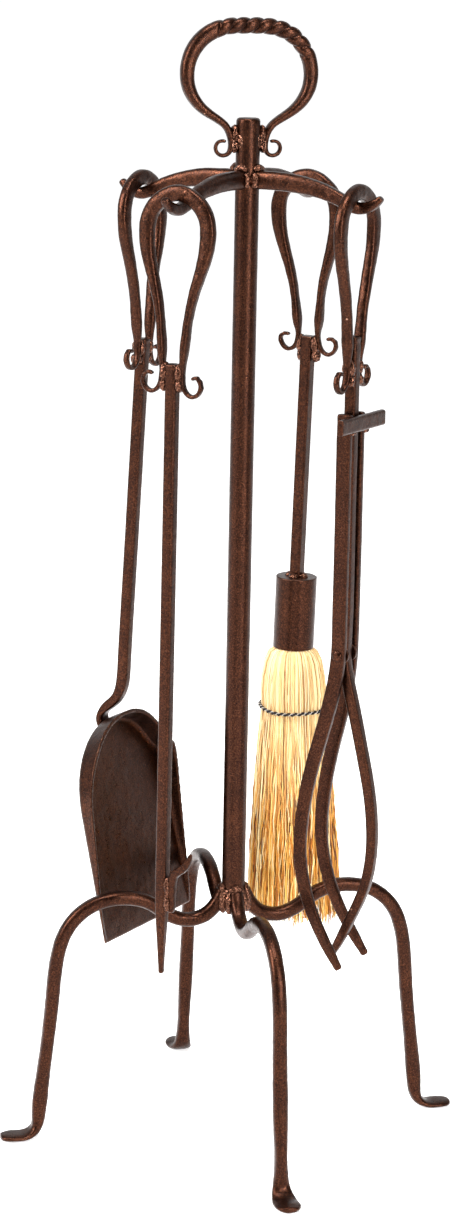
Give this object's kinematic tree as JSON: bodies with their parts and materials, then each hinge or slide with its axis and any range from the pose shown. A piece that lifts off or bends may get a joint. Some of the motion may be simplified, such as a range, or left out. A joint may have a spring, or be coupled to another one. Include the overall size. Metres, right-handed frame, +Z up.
{
  "type": "fireplace tool set",
  "caption": "Wrought fireplace tool set: four-legged stand with carry handle and hooks, holding a poker, scissor tongs, brush and ash shovel by teardrop grip loops.",
  "frame": {"origin": "on the floor, on the axis of the central post", "axes": "+Z up along the post; the poker hangs at -Y, the tongs at +X, the brush at +Y and the shovel at -X, and the legs stand on the diagonals"},
  "size_m": [0.2362, 0.2366, 0.7615],
  "materials": {
    "forged_iron": "hand-forged steel with a mottled dark copper-brown satin coat",
    "weld_metal": "lumpy weld beads under the same coat, rubbed brighter",
    "bristle": "stiff natural straw-coloured broom fibre",
    "twine": "dark twisted twine"
  },
  "bodies": {
    "stand": {"post": "forged_iron", "leg_back_right": "forged_iron", "leg_back_left": "forged_iron", "leg_front_left": "forged_iron", "leg_front_right": "forged_iron", "hanger_arm_tongs": "forged_iron", "hanger_arm_brush": "forged_iron", "hanger_arm_shovel": "forged_iron", "hanger_arm_poker": "forged_iron", "carry_handle": "forged_iron", "handle_welds": "weld_metal", "hanger_welds": "weld_metal", "leg_welds": "weld_metal"},
    "poker": {"poker_shaft": "forged_iron", "poker_barb": "forged_iron", "poker_barb_weld": "weld_metal", "poker_grip_loop": "forged_iron", "poker_grip_welds": "weld_metal"},
    "shovel": {"shovel_shaft": "forged_iron", "shovel_pan": "forged_iron", "shovel_pan_welds": "weld_metal", "shovel_grip_loop": "forged_iron", "shovel_grip_welds": "weld_metal"},
    "brush": {"brush_shaft": "forged_iron", "brush_ferrule": "forged_iron", "brush_ferrule_weld": "weld_metal", "brush_bristles": "bristle", "brush_twine": "twine", "brush_grip_loop": "forged_iron", "brush_grip_welds": "weld_metal"},
    "tongs": {"tongs_shaft": "forged_iron", "tongs_grip_loop": "forged_iron", "tongs_grip_welds": "weld_metal"},
    "tongs_lever": {"tongs_side_bar_front": "forged_iron", "tongs_side_bar_rear": "forged_iron", "tongs_washer_front": "forged_iron", "tongs_washer_rear": "forged_iron", "tongs_finger_plate": "forged_iron", "tongs_plate_welds": "weld_metal", "tongs_pivot_rivet": "forged_iron"}
  },
  "joints": [
    {"name": "poker_lift_off", "type": "slide", "parent": "stand", "child": "poker", "axis": [0, -0.7071, 0.7071], "range_m": [0, 0.3]},
    {"name": "tongs_lift_off", "type": "slide", "parent": "stand", "child": "tongs", "axis": [0.7071, 0, 0.7071], "range_m": [0, 0.3]},
    {"name": "brush_lift_off", "type": "slide", "parent": "stand", "child": "brush", "axis": [0, 0.7071, 0.7071], "range_m": [0, 0.3]},
    {"name": "shovel_lift_off", "type": "slide", "parent": "stand", "child": "shovel", "axis": [-0.7071, 0, 0.7071], "range_m": [0, 0.3]},
    {"name": "tongs_squeeze", "type": "hinge", "parent": "tongs", "child": "tongs_lever", "pos_m": [0.082, 0, 0.349], "axis": [0, 1, 0], "range_deg": [0, 15]}
  ]
}
